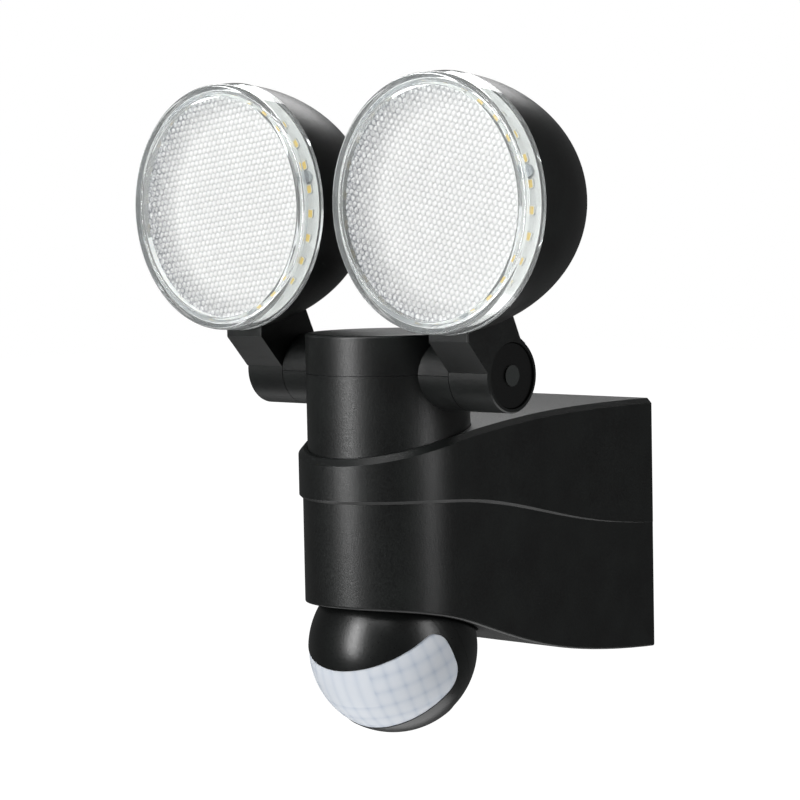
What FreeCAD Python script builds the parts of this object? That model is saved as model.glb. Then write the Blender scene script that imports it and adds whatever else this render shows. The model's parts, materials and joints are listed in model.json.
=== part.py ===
"""Twin-head LED security floodlight with a ball-shaped motion sensor, for wall mounting.

Frame: +Z up, the origin on the wall plane at the centre of the wall plate, -Y away from the wall.
The column stands on a vertical axis in front of the wall and carries the two lamp heads. The sensor
ball hangs below the bracket on the same axis.
"""
import FreeCAD, Part
import math
import os
from FreeCAD import Placement, Rotation, Vector

os.makedirs("parts", exist_ok=True)
doc = FreeCAD.newDocument("floodlight")

# ---------------------------------------------------------------- driving dimensions, in mm
SIZES = {
    # bracket
    "column_reach": (130.0, "wall to column axis"),
    "wall": (2.6, "thickness of the moulded walls"),
    "body_radius": (35.6, "lower part of the bracket, seen from above"),
    "band_radius": (37.1, "raised band round the collar"),
    "plate_thick": (3.0, "wall plate"),
    "fixing_pitch": (72.0, "between the two wall screws"),
    "fixing_radius": (2.5, "hole for a wall screw"),
    "cable_radius": (4.5, "bore of the cable grommet"),
    # column
    "arm_height": (73.0, "axis of the two arms, above the plate's centre"),
    "column_radius": (33.3, "column"),
    "spigot_radius": (32.7, "lower end of the column, inside the bracket"),
    "column_rise": (16.2, "top of the cap above the arm axis"),
    "arm_radius": (14.8, "stub arms and knuckle barrels"),
    "stub_reach": (45.5, "end of a stub arm from the column axis"),
    "barrel_start": (45.8, "inner face of a knuckle barrel"),
    "barrel_end": (66.2, "outer face of a knuckle barrel"),
    "bolt_radius": (4.0, "hollow pivot bolt"),
    "running_gap": (0.08, "radial clearance of the pivots"),
    # lamp heads
    "head_spread": (57.2, "head axis from the middle plane"),
    "head_rise": (67.8, "head axis above the arm axis"),
    "rim_reach": (28.8, "shell rim in front of the column axis"),
    "cover_depth": (10.1, "clear cover in front of the shell rim"),
    "cover_radius": (50.0, "front edge of the clear cover"),
    "cover_foot": (50.8, "back edge of the clear cover"),
    "shell_radius": (50.3, "shell at its rim"),
    "dome_depth": (60.9, "shell from rim to back"),
    "prism_radius": (45.0, "field of prisms in the cover"),
    "board_radius": (47.3, "LED board"),
    "led_ring": (43.0, "outer ring of LEDs"),
    # sensor
    "ball_radius": (34.85, "sensor ball"),
    "ball_wall": (2.4, "wall of the sensor ball"),
    "ball_drop": (113.2, "ball centre below the arm axis"),
    "ball_tilt": (26.5, "how far the sensor looks down, in degrees"),
    "seam_back": (5.6, "ball seam behind the ball centre"),
    "socket_gap": (0.8, "between the ball and its socket"),
    "stem_radius": (8.0, "sensor stem in the hub"),
    "pin_radius": (2.5, "tilt pin of the ball"),
}

sheet = doc.addObject("Spreadsheet::Sheet", "Sizes")
for row, (alias, (value, note)) in enumerate(SIZES.items(), start=1):
    sheet.set(f"A{row}", note)
    sheet.set(f"B{row}", str(value))
    sheet.setAlias(f"B{row}", alias)
doc.recompute()


def mm(alias):
    """A driving dimension, read from the sheet."""
    return float(sheet.get(alias))


AXIS_Y = -mm("column_reach")
ARM_Z = mm("arm_height")
RIM_Y = AXIS_Y - mm("rim_reach")
HEAD_Z = ARM_Z + mm("head_rise")
BALL_Z = ARM_Z - mm("ball_drop")
WALL = mm("wall")
SIDES = {"right": 1, "left": -1}
TURN = {"x": Rotation(Vector(0, 1, 0), 90), "y": Rotation(Vector(1, 0, 0), -90), "z": Rotation()}
nodes = []


# ---------------------------------------------------------------- helpers
def bind(obj, **sizes):
    """Give sizes to an object: text is a formula on the sheet, a number is a plain size."""
    for name, value in sizes.items():
        if isinstance(value, str):
            obj.setExpression(name, value)
        else:
            setattr(obj, name, value)
    return obj


def rod(name, radius, length, start, axis="z"):
    """A cylinder from a start point along +x, +y, +z or a given direction."""
    obj = bind(doc.addObject("Part::Cylinder", name), Radius=radius, Height=length)
    turn = TURN[axis] if isinstance(axis, str) else Rotation(Vector(0, 0, 1), Vector(*axis))
    obj.Placement = Placement(Vector(*start), turn)
    return obj


def block(name, low, high):
    """A box between two corners."""
    obj = doc.addObject("Part::Box", name)
    bind(obj, Length=high[0] - low[0], Width=high[1] - low[1], Height=high[2] - low[2])
    obj.Placement = Placement(Vector(*low), Rotation())
    return obj


def ball(name, radius, centre):
    """A whole sphere."""
    obj = bind(doc.addObject("Part::Sphere", name), Radius=radius)
    obj.Placement = Placement(Vector(*centre), Rotation())
    return obj


def join(name, pieces):
    obj = doc.addObject("Part::MultiFuse", name)
    obj.Shapes = pieces
    obj.Refine = True
    return obj


def overlap(name, pieces):
    obj = doc.addObject("Part::MultiCommon", name)
    obj.Shapes = pieces
    return obj


def cut(name, base, tools):
    """Take one or more tools out of a base."""
    obj = doc.addObject("Part::Cut", name)
    obj.Base = base
    obj.Tool = tools[0] if len(tools) == 1 else join(name + "_tools", tools)
    return obj


def group(name, pieces):
    """Separate solids that share one node."""
    obj = doc.addObject("Part::Compound", name)
    obj.Links = pieces
    return obj


def deliver(label, obj):
    """Name a finished sub-part and list it for export."""
    obj.Label = label
    nodes.append(obj)
    return obj


def curve(points, **ends):
    """A smooth edge through a few points."""
    spline = Part.BSplineCurve()
    spline.interpolate(Points=[Vector(x, y, 0) for x, y in points], **ends)
    return spline


def line(start, end):
    return Part.LineSegment(Vector(*start, 0), Vector(*end, 0))


def rounded(corners):
    """A closed outline from corners (x, y, radius), each rounded by an arc where radius > 0."""
    edges = []
    ends = []
    for i, (x, y, radius) in enumerate(corners):
        here = Vector(x, y, 0)
        before = (Vector(*corners[i - 1][:2], 0) - here).normalize()
        after = (Vector(*corners[(i + 1) % len(corners)][:2], 0) - here).normalize()
        if radius == 0:
            ends.append((here, here))
            continue
        half = before.getAngle(after) / 2
        reach = radius / math.tan(half)
        middle = here + (before + after).normalize() * (radius / math.sin(half) - radius)
        ends.append((here + before * reach, here + after * reach))
        edges.append(Part.Arc(ends[-1][0], middle, ends[-1][1]))
    for i, (enter, _) in enumerate(ends):
        leave = ends[i - 1][1]
        if (enter - leave).Length > 1e-6:
            edges.append(Part.LineSegment(leave, enter))
    return edges


def sketched(name, plane, edges):
    """A body with one sketch on one of its own origin planes."""
    body = doc.addObject("PartDesign::Body", name)
    sketch = body.newObject("Sketcher::SketchObject", name + "_sketch")
    support = [f for f in body.Origin.OriginFeatures if f.Role == plane][0]
    sketch.AttachmentSupport = [(support, "")]
    sketch.MapMode = "FlatFace"
    for edge in edges:
        sketch.addGeometry(edge, False)
    return body, sketch


def padded(name, plane, edges, length, at=(0, 0, 0), symmetric=False):
    """An outline made solid, to one side of its plane or to both."""
    body, sketch = sketched(name, plane, edges)
    pad = body.newObject("PartDesign::Pad", name + "_pad")
    pad.Profile = sketch
    bind(pad, Length=length)
    pad.SideType = "Symmetric" if symmetric else "One side"
    body.Placement = Placement(Vector(*at), Rotation())
    return body


def turned(name, edges, at):
    """An outline in (along, radius) turned about the +Y direction through a point."""
    body, sketch = sketched(name, "YZ_Plane", edges)
    spin = body.newObject("PartDesign::Revolution", name + "_turn")
    spin.Profile = sketch
    spin.ReferenceAxis = (sketch, ["H_Axis"])
    spin.Angle = 360
    body.Placement = Placement(Vector(*at), Rotation())
    return body


def bevelled(name, kind, base, wanted, size):
    """Chamfer or fillet the edges of a base that the test function picks."""
    doc.recompute()
    picked = [i for i, edge in enumerate(base.Shape.Edges, start=1) if wanted(edge)]
    obj = doc.addObject(kind, name)
    obj.Base = base
    obj.Edges = [(i, size, size) for i in picked]
    return obj


def screw(name, seat, way, head, shank):
    """A slotted screw: its head stands on the seat and its shank runs the given way."""
    head_radius, head_height = head
    shank_radius, shank_length = shank
    axis = Vector(*way).normalize()
    top = Vector(*seat) - axis * head_height
    turn = Rotation(Vector(0, 0, 1), axis)
    whole = join(name + "_whole", [
        rod(name + "_head", head_radius, head_height, top, tuple(axis)),
        rod(name + "_shank", shank_radius, shank_length, seat, tuple(axis)),
    ])
    slot = bind(doc.addObject("Part::Box", name + "_slot"),
                Length=head_radius * 1.5, Width=0.8, Height=head_height * 0.5)
    slot.Placement = Placement(top, turn) * Placement(Vector(-head_radius * 0.75, -0.4, 0), Rotation())
    return cut(name, whole, [slot])


def around(radius, count, start=0.0):
    """Points evenly spaced on a circle, with their angles in degrees."""
    for i in range(count):
        angle = start + 360 * i / count
        yield radius * math.cos(math.radians(angle)), radius * math.sin(math.radians(angle)), angle


# ---------------------------------------------------------------- bracket
BRACKET_TOP = [(-168, 39.2), (-150, 43.5), (-132, 47.4), (-106, 51.0), (-73, 53.8), (-39, 54.8), (0, 54.6)]
BRACKET_STEP = [(-168, 22.1), (-140, 22.0), (-117, 20.2), (-90, 15.3), (-56, 7.4), (-14, 0.6), (0, -0.6)]
BRACKET_FOOT = [(-168, -19.8), (-152, -21.2), (-130, -25.7), (-106, -33.7), (-73.5, -43.9),
                (-38.5, -50.4), (0, -54.0)]
SHOULDER_Z = 24.0
LOCK_Z = 16.0
LOCK_ANGLE = 25.0
HOUSING_SCREW_X = 22.0
HOUSING_SCREW_Y = -8.0


def side_slab(name, upper, lower, width, wall_end=0.0):
    """The bracket seen from the side, between two curves from the front to the wall."""
    edges = [curve(upper), curve(lower), line(upper[0], lower[0])]
    if wall_end:
        high = (wall_end, upper[-1][1])
        low = (wall_end, lower[-1][1])
        edges += [line(upper[-1], high), line(high, low), line(low, lower[-1])]
    else:
        edges += [line(upper[-1], lower[-1])]
    return padded(name, "YZ_Plane", edges, width, symmetric=True)


def plan_column(name, radius, wall_half):
    """The bracket seen from above: a half round at the front and two straight sides."""
    left, right = (-radius, AXIS_Y), (radius, AXIS_Y)
    front = Part.Arc(Vector(*left, 0), Vector(0, AXIS_Y - radius, 0), Vector(*right, 0))
    edges = [front, line(right, (wall_half, 0)), line((wall_half, 0), (-wall_half, 0)),
             line((-wall_half, 0), left)]
    return padded(name, "XY_Plane", edges, 130.0, at=(0, 0, -60))


def face_edges(base, pick):
    """Test for the edges of the highest or lowest face, apart from the edge on the wall."""
    doc.recompute()
    face = pick(base.Shape.Faces, key=lambda f: f.CenterOfMass.z)
    return lambda edge: any(edge.isSame(e) for e in face.Edges) and edge.CenterOfMass.y < -0.01


def make_bracket():
    behind_band = [(y, z + 4) for y, z in BRACKET_STEP]
    foot = overlap("bracket_foot", [
        side_slab("foot_side", behind_band, BRACKET_FOOT, 90.0),
        plan_column("foot_plan", mm("body_radius"), mm("body_radius")),
    ])
    foot_soft = bevelled("foot_soft", "Part::Fillet", foot, face_edges(foot, min), 1.2)
    band = overlap("bracket_band", [
        side_slab("band_side", BRACKET_TOP, BRACKET_STEP, 90.0),
        plan_column("band_plan", mm("band_radius"), mm("body_radius") + 0.1),
    ])
    band_top = bevelled("band_top", "Part::Chamfer", band, face_edges(band, max), 2.2)
    band_soft = bevelled("band_soft", "Part::Chamfer", band_top, face_edges(band_top, min), 1.3)
    outside = join("bracket_outside", [foot_soft, band_soft])

    inner_top = [(y, z - WALL) for y, z in BRACKET_TOP]
    inner_foot = [(y, z + WALL) for y, z in BRACKET_FOOT]
    half = mm("body_radius") - WALL
    rear = cut("rear_hollow", overlap("rear_whole", [
        side_slab("rear_side", inner_top, inner_foot, 2 * half, wall_end=1.0),
        block("rear_span", (-half, AXIS_Y, -60), (half, 2, 60)),
    ]), [rod("collar_tube", 35.8, 130.0, (0, AXIS_Y, -65))])
    low_bore = cut("low_bore", rod("low_bore_rod", half, SHOULDER_Z + 17.4, (0, AXIS_Y, -17.4)),
                   [ball("bowl_back", mm("ball_radius") + 3.2, (0, AXIS_Y, BALL_Z))])
    high_bore = rod("high_bore", "Sizes.column_radius + 0.3", 60.0, (0, AXIS_Y, SHOULDER_Z))
    hollowed = cut("bracket_hollowed", outside, [rear, low_bore, high_bore])

    additions = [hollowed, rod("hub_boss", 12.0, 6.5, (0, AXIS_Y, -5.0))]
    for side, sign in SIDES.items():
        x = sign * HOUSING_SCREW_X
        additions.append(rod(f"screw_boss_{side}", 5.0, 4.2, (x, HOUSING_SCREW_Y, -52.8)))
        additions.append(block(f"catch_rib_{side}", (min(x, x - sign * 10), -9.6, 46.0),
                               (max(x, x - sign * 10), -7.6, 53.0)))
    filled = join("bracket_filled", additions)

    tools = [
        ball("ball_socket", "Sizes.ball_radius + Sizes.socket_gap", (0, AXIS_Y, BALL_Z)),
        rod("hub_hole", "Sizes.stem_radius + Sizes.running_gap", 12.0, (0, AXIS_Y, -8.0)),
        rod("wire_window", 4.5, 16.0, (0, AXIS_Y + 26, 3.2), "y"),
    ]
    for side, sign in SIDES.items():
        angle = math.radians(sign * LOCK_ANGLE)
        way = (math.sin(angle), math.cos(angle), 0)
        start = (way[0] * 30, AXIS_Y + way[1] * 30, LOCK_Z)
        tools.append(rod(f"lock_hole_{side}", 2.0, 10.0, start, way))
        x = sign * HOUSING_SCREW_X
        tools.append(rod(f"screw_hole_{side}", 1.9, 12.0, (x, HOUSING_SCREW_Y, -56)))
        tools.append(rod(f"screw_recess_{side}", 3.5, 4.6, (x, HOUSING_SCREW_Y, -56)))
    deliver("bracket_housing", cut("bracket_housing", filled, tools))


def make_wall_plate():
    half = mm("body_radius") - WALL - 0.3
    thick = mm("plate_thick")
    bottom, top = -51.0, 51.6
    pieces = [block("plate_sheet", (-half, -thick, bottom), (half, 0, top))]
    for side, sign in SIDES.items():
        x = sign * HOUSING_SCREW_X
        pieces.append(block(f"lug_{side}", (x - 5, -13, -48.4), (x + 5, -thick, -38)))
        inner, outer = sorted((x, x - sign * 10))
        pieces.append(block(f"tongue_{side}", (inner + 0.5, -12, 43), (outer - 0.5, -thick, 45.6)))
        pieces.append(block(f"hook_{side}", (inner + 0.5, -12, 45.6), (outer - 0.5, -10, 48)))
    solid = join("plate_solid", pieces)
    pitch = mm("fixing_pitch") / 2
    tools = [rod(f"fixing_{name}", "Sizes.fixing_radius", 12.0, (0, -8, z), "y")
             for name, z in (("upper", pitch), ("lower", -pitch))]
    tools.append(rod("cable_hole", 6.5, 12.0, (0, -8, 16), "y"))
    tools.append(gasket_ring("gasket_groove", 2.0))
    for side, sign in SIDES.items():
        tools.append(rod(f"lug_hole_{side}", 1.5, 9.0, (sign * HOUSING_SCREW_X, HOUSING_SCREW_Y, -49)))
    deliver("wall_plate", cut("wall_plate", solid, tools))
    deliver("wall_gasket", gasket_ring("wall_gasket", 2.0))

    sleeve = join("grommet_solid", [
        rod("grommet_sleeve", 6.5, 4.4, (0, -4.4, 16), "y"),
        rod("grommet_flange", 8.5, 1.4, (0, -4.4, 16), "y"),
    ])
    deliver("cable_grommet", cut("cable_grommet", sleeve, [
        rod("grommet_bore", "Sizes.cable_radius", 8.0, (0, -6, 16), "y")]))
    deliver("housing_screws", group("housing_screws", [
        screw(f"housing_screw_{side}", (sign * HOUSING_SCREW_X, HOUSING_SCREW_Y, -51.4), (0, 0, 1),
              (3.2, 1.9), (1.5, 11.0)) for side, sign in SIDES.items()]))


def gasket_ring(name, depth):
    """The foam seal round the back of the plate, as a rectangular ring."""
    frame = block(name + "_outer", (-30, -depth, -48.5), (30, 0, 49))
    return cut(name, frame, [block(name + "_inner", (-26, -depth - 1, -44.5), (26, 1, 45))])


def make_terminals():
    pitch = 9.0
    base = block("terminal_base", (-14, -18, -22), (14, -mm("plate_thick"), -8))
    ways = [rod(f"terminal_way_{i}", 2.2, 20.0, (pitch * i, -12.5, -25)) for i in (-1, 0, 1)]
    wells = [rod(f"terminal_well_{i}", 2.4, 5.0, (pitch * i, -18.5, -15), "y") for i in (-1, 0, 1)]
    deliver("terminal_block", cut("terminal_block", base, ways + wells))
    deliver("terminal_screws", group("terminal_screws", [
        screw(f"terminal_screw_{i}", (pitch * i, -15.5, -15), (0, 1, 0), (2.2, 1.6), (1.4, 1.0))
        for i in (-1, 0, 1)]))


# ---------------------------------------------------------------- column
POST_CIRCLE = 25.0
SEAM_GAP = 0.1
CAP_SCREW_SEAT = 60.0
BOARD_HALF = 27.5
BOARD_THICK = 1.6


def post_places():
    return list(around(POST_CIRCLE, 4, 45.0))


def arm_hollows(name):
    """The room inside the stub arms, and the holes for the two pivot bolts."""
    reach = mm("stub_reach")
    return [
        rod(name + "_room", 11.8, 2 * (reach - 4), (-(reach - 4), AXIS_Y, ARM_Z), "x"),
        rod(name + "_bolt_way", "Sizes.bolt_radius", "2 * Sizes.stub_reach + 2",
            (-reach - 1, AXIS_Y, ARM_Z), "x"),
    ]


def arm_bar(name):
    return rod(name, "Sizes.arm_radius", "2 * Sizes.stub_reach", (-mm("stub_reach"), AXIS_Y, ARM_Z), "x")


def make_column_body():
    floor = SHOULDER_Z - 15.6
    height = ARM_Z - SHOULDER_Z
    tube = join("column_tube", [
        rod("column_upper", "Sizes.column_radius", height, (0, AXIS_Y, SHOULDER_Z)),
        rod("column_spigot", "Sizes.spigot_radius", SHOULDER_Z - floor, (0, AXIS_Y, floor)),
        arm_bar("column_arm_bar"),
    ])
    room = [
        rod("column_room_low", 28.6, 16.0, (0, AXIS_Y, floor + 3)),
        rod("column_room_high", 30.6, 60.0, (0, AXIS_Y, SHOULDER_Z - 2)),
    ]
    shell = cut("column_shell", tube, room + arm_hollows("column"))
    posts = [rod(f"column_post_{i}", 4.4, ARM_Z - floor, (x, AXIS_Y + y, floor))
             for i, (x, y, _) in enumerate(post_places())]
    rails = [block(f"board_rail_{side}", (min(24 * sign, 30 * sign), AXIS_Y - 3.5, floor),
                   (max(24 * sign, 30 * sign), AXIS_Y + 3.5, 60)) for side, sign in SIDES.items()]
    solid = join("column_solid", [shell] + posts + rails)
    tools = [
        block("column_above_seam", (-60, AXIS_Y - 60, ARM_Z - SEAM_GAP), (60, AXIS_Y + 60, ARM_Z + 60)),
        block("column_board_slot", (-BOARD_HALF, AXIS_Y - 0.8, floor + 5), (BOARD_HALF, AXIS_Y + 0.8, 61)),
        rod("column_wire_hole", 7.0, 6.0, (0, AXIS_Y, floor - 1)),
        cut("lock_groove", rod("groove_outer", 40.0, 4.4, (0, AXIS_Y, LOCK_Z - 2.2)),
            [rod("groove_inner", 30.9, 6.0, (0, AXIS_Y, LOCK_Z - 3))]),
        seal_ring("column_seal_groove"),
    ]
    for i, (x, y, _) in enumerate(post_places()):
        tools.append(rod(f"post_well_{i}", 3.3, CAP_SCREW_SEAT - floor + 1, (x, AXIS_Y + y, floor - 1)))
        tools.append(rod(f"post_bore_{i}", 1.8, 20.0, (x, AXIS_Y + y, CAP_SCREW_SEAT - 1)))
    deliver("column_body", cut("column_body", solid, tools))


def seal_ring(name):
    """The seal in the seam round the column, broken where the arms pass through."""
    ring = cut(name + "_ring", rod(name + "_outer", 32.5, 2.4, (0, AXIS_Y, ARM_Z - 1.2)),
               [rod(name + "_inner", 31.3, 6.0, (0, AXIS_Y, ARM_Z - 3))])
    arms = block(name + "_arms", (-60, AXIS_Y - 15.4, ARM_Z - 5), (60, AXIS_Y + 15.4, ARM_Z + 5))
    return cut(name, ring, [arms])


def make_column_cap():
    rise = mm("column_rise")
    top_edge = ARM_Z + rise
    disc = rod("cap_disc", "Sizes.column_radius", "Sizes.column_rise", (0, AXIS_Y, ARM_Z))
    soft = bevelled("cap_soft", "Part::Fillet", disc, lambda e: e.CenterOfMass.z > top_edge - 0.01
                    and len(e.Vertexes) == 1, 1.3)
    whole = join("cap_whole", [soft, arm_bar("cap_arm_bar")])
    room = rod("cap_room", 30.6, rise - WALL, (0, AXIS_Y, ARM_Z))
    shell = cut("cap_shell", whole, [room] + arm_hollows("cap"))
    posts = [rod(f"cap_post_{i}", 4.2, rise - WALL + 0.5, (x, AXIS_Y + y, ARM_Z))
             for i, (x, y, _) in enumerate(post_places())]
    solid = join("cap_solid", [shell] + posts)
    tools = [
        block("cap_below_seam", (-60, AXIS_Y - 60, ARM_Z - 60), (60, AXIS_Y + 60, ARM_Z + SEAM_GAP)),
        seal_ring("cap_seal_groove"),
    ]
    for i, (x, y, _) in enumerate(post_places()):
        tools.append(rod(f"cap_bore_{i}", 1.5, 9.5, (x, AXIS_Y + y, ARM_Z)))
    deliver("column_cap", cut("column_cap", solid, tools))
    deliver("cap_gasket", seal_ring("cap_gasket"))
    deliver("cap_screws", group("cap_screws", [
        screw(f"cap_screw_{i}", (x, AXIS_Y + y, CAP_SCREW_SEAT), (0, 0, 1), (3.0, 2.2), (1.5, 22.0))
        for i, (x, y, _) in enumerate(post_places())]))


def make_driver():
    back = AXIS_Y + BOARD_THICK / 2
    front = AXIS_Y - BOARD_THICK / 2
    bottom = 14.2
    deliver("driver_board", block("driver_board", (-BOARD_HALF, front, bottom), (BOARD_HALF, back, 59.5)))
    core = block("transformer_core", (-9, front - 14, 24), (9, front, 40))
    coil = rod("transformer_coil", 6.5, 11.0, (0, front - 7, 26.5))
    windows = [block(f"transformer_window_{side}", (min(2 * sign, 12 * sign), front - 11.5, 27),
                     (max(2 * sign, 12 * sign), front - 2.5, 37)) for side, sign in SIDES.items()]
    deliver("driver_transformer", join("driver_transformer", [
        cut("transformer_frame", core, windows), overlap("transformer_wound", [
            coil, block("coil_room", (-9, front - 14, 26.5), (9, front, 37.5))])]))
    can = rod("capacitor_can", 5.0, 17.0, (-6, front - 5.6, 48), "x")
    deliver("driver_capacitor", bevelled("driver_capacitor", "Part::Fillet", can,
                                         lambda e: len(e.Vertexes) == 1, 0.6))
    relay = block("relay_box", (-9, back, 30), (9, back + 13, 44))
    deliver("driver_relay", bevelled("driver_relay", "Part::Fillet", relay,
                                     lambda e: e.CenterOfMass.y > back + 1, 0.7))


def make_column_locks():
    locks = []
    for side, sign in SIDES.items():
        angle = math.radians(sign * LOCK_ANGLE)
        out = (math.sin(angle), math.cos(angle), 0)
        seat = (out[0] * 36.1, AXIS_Y + out[1] * 36.1, LOCK_Z)
        locks.append(screw(f"lock_{side}", seat, (-out[0], -out[1], 0), (3.4, 2.2), (1.95, 4.9)))
    deliver("column_lock_screws", group("column_lock_screws", locks))


# ---------------------------------------------------------------- lamp heads
DOME_LENGTH_POWER = 1.784
DOME_RADIUS_POWER = 2.322
DOME_STEPS = 8
NECK = [(-14.7, 1.5), (-26.4, 14.5), (-26.4, 31), (-4, 33), (0.6, 24), (5.0, 14.5), (8.0, 12.4), (0, 0)]


def dome_profile(radius, depth):
    """Half outline of the bowl: a superellipse, fuller than a sphere near the rim."""
    points = []
    for i in range(DOME_STEPS + 1):
        angle = math.radians(90 * i / DOME_STEPS)
        along = depth * math.sin(angle) ** (2 / DOME_LENGTH_POWER)
        out = radius * max(math.cos(angle), 0) ** (2 / DOME_RADIUS_POWER)
        points.append((along, out if i < DOME_STEPS else 0.0))
    arc = curve(points, InitialTangent=Vector(1, -0.02, 0), FinalTangent=Vector(0, -1, 0))
    return [arc, line((depth, 0), (0, 0)), line((0, 0), (0, radius))]


def x_span(sign, near, far):
    return sorted((sign * near, sign * far))


def make_head_shell(side, sign):
    centre = (sign * mm("head_spread"), RIM_Y, HEAD_Z)
    start, end = x_span(sign, mm("barrel_start"), mm("barrel_end"))
    width = end - start
    dome = turned(f"dome_{side}", dome_profile(mm("shell_radius"), mm("dome_depth")), centre)
    hollow = turned(f"dome_hollow_{side}",
                    dome_profile(mm("shell_radius") - WALL, mm("dome_depth") - WALL), centre)
    edges = rounded([(y, z, 0) for y, z in NECK])
    arm = padded(f"neck_{side}", "YZ_Plane", edges, width, at=(start, AXIS_Y, ARM_Z))
    front_y = AXIS_Y + NECK[1][0]
    neck_soft = bevelled(f"neck_soft_{side}", "Part::Fillet", arm, lambda e: len(e.Vertexes) == 2 and all(
        abs(v.Point.y - front_y) < 0.01 for v in e.Vertexes) and e.Length < width - 1, 0.6)
    barrel = rod(f"barrel_{side}", "Sizes.arm_radius", width, (start, AXIS_Y, ARM_Z), "x")
    outer_x = sign * mm("barrel_end")
    barrel_soft = bevelled(f"barrel_soft_{side}", "Part::Chamfer", barrel,
                           lambda e: len(e.Vertexes) == 1 and abs(e.CenterOfMass.x - outer_x) < 0.01, 0.5)
    outside = join(f"head_outside_{side}", [dome, neck_soft, barrel_soft])
    opened = cut(f"head_opened_{side}", outside, [hollow])

    posts = [rod(f"head_post_{side}_{i}", 3.6, 52.0, (centre[0] + x, RIM_Y + 3.6, HEAD_Z + z), "y")
             for i, (x, z, _) in enumerate(board_screw_places())]
    inside_posts = [overlap(f"head_post_in_{side}_{i}", [
        post, turned(f"post_room_{side}_{i}",
                     dome_profile(mm("shell_radius") - 1, mm("dome_depth") - 1), centre)])
        for i, post in enumerate(posts)]
    solid = join(f"head_solid_{side}", [opened] + inside_posts)

    web = 5.1
    inner_x = sign * (mm("barrel_start") + web)
    room_start, room_end = sorted((inner_x, sign * 70))
    tools = [
        rod(f"barrel_room_{side}", 13.2, room_end - room_start, (room_start, AXIS_Y, ARM_Z), "x"),
        rod(f"barrel_bore_{side}", "Sizes.bolt_radius + Sizes.running_gap", 30.0,
            (min(sign * 40, sign * 70), AXIS_Y, ARM_Z), "x"),
        rod(f"neck_way_{side}", 3.0, 20.0, (sign * 57, AXIS_Y - 8, ARM_Z + 7)),
        seat_ring(f"seal_seat_{side}", centre),
    ]
    for i, (x, z, _) in enumerate(board_screw_places()):
        tools.append(rod(f"post_hole_{side}_{i}", 1.4, 9.0, (centre[0] + x, RIM_Y, HEAD_Z + z), "y"))
    deliver(f"head_shell_{side}", cut(f"head_shell_{side}", solid, tools))

    cap_start, cap_end = x_span(sign, 62.8, 65.4)
    boss_start, boss_end = x_span(sign, 65.0, 66.1)
    disc = rod(f"cap_disc_{side}", 13.1, cap_end - cap_start, (cap_start, AXIS_Y, ARM_Z), "x")
    disc_soft = bevelled(f"cap_disc_soft_{side}", "Part::Chamfer", disc, lambda e: len(e.Vertexes) == 1
                         and abs(abs(e.CenterOfMass.x) - 65.4) < 0.01, 0.4)
    boss = rod(f"cap_boss_{side}", 4.2, boss_end - boss_start, (boss_start, AXIS_Y, ARM_Z), "x")
    deliver(f"end_cap_{side}", join(f"end_cap_{side}", [disc_soft, boss]))


def seat_ring(name, centre):
    """The ring of the lens seal, let into the shell rim."""
    x, y, z = centre
    return cut(name, rod(name + "_outer", 49.9, 1.0, (x, y, z), "y"),
               [rod(name + "_inner", 48.6, 4.0, (x, y - 1, z), "y")])


LED_COUNT = 28
LED_START = 8.6


def board_screw_places():
    """Four places midway between two LEDs of the outer ring."""
    return list(around(mm("led_ring") - 0.3, 4, LED_START + 180 / LED_COUNT))


def make_pivot(side, sign):
    head_start, head_end = x_span(sign, 37.4, mm("stub_reach") - 4)
    shank_start, shank_end = x_span(sign, mm("stub_reach") - 4, 60.0)
    head = bind(doc.addObject("Part::Prism", f"bolt_head_{side}"), Polygon=6, Circumradius=7.5,
                Height=head_end - head_start)
    head.Placement = Placement(Vector(head_start, AXIS_Y, ARM_Z), TURN["x"])
    shank = rod(f"bolt_shank_{side}", "Sizes.bolt_radius", shank_end - shank_start,
                (shank_start, AXIS_Y, ARM_Z), "x")
    way = rod(f"bolt_way_{side}", 2.4, 40.0, (min(sign * 30, sign * 70), AXIS_Y, ARM_Z), "x")
    deliver(f"pivot_bolt_{side}", cut(f"pivot_bolt_{side}", join(f"bolt_{side}", [head, shank]), [way]))

    washer_start, washer_end = x_span(sign, 51.0, 52.4)
    washer = rod(f"washer_disc_{side}", 7.6, washer_end - washer_start, (washer_start, AXIS_Y, ARM_Z), "x")
    hole = rod(f"washer_hole_{side}", 4.3, 4.0, (washer_start - 1, AXIS_Y, ARM_Z), "x")
    deliver(f"pivot_washer_{side}", cut(f"pivot_washer_{side}", washer, [hole]))

    nut_start, nut_end = x_span(sign, 52.5, 58.0)
    nut = bind(doc.addObject("Part::Prism", f"nut_hex_{side}"), Polygon=6, Circumradius=7.5,
               Height=nut_end - nut_start)
    nut.Placement = Placement(Vector(nut_start, AXIS_Y, ARM_Z), TURN["x"])
    thread = rod(f"nut_thread_{side}", "Sizes.bolt_radius", 8.0, (nut_start - 1, AXIS_Y, ARM_Z), "x")
    deliver(f"pivot_nut_{side}", cut(f"pivot_nut_{side}", nut, [thread]))


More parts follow.
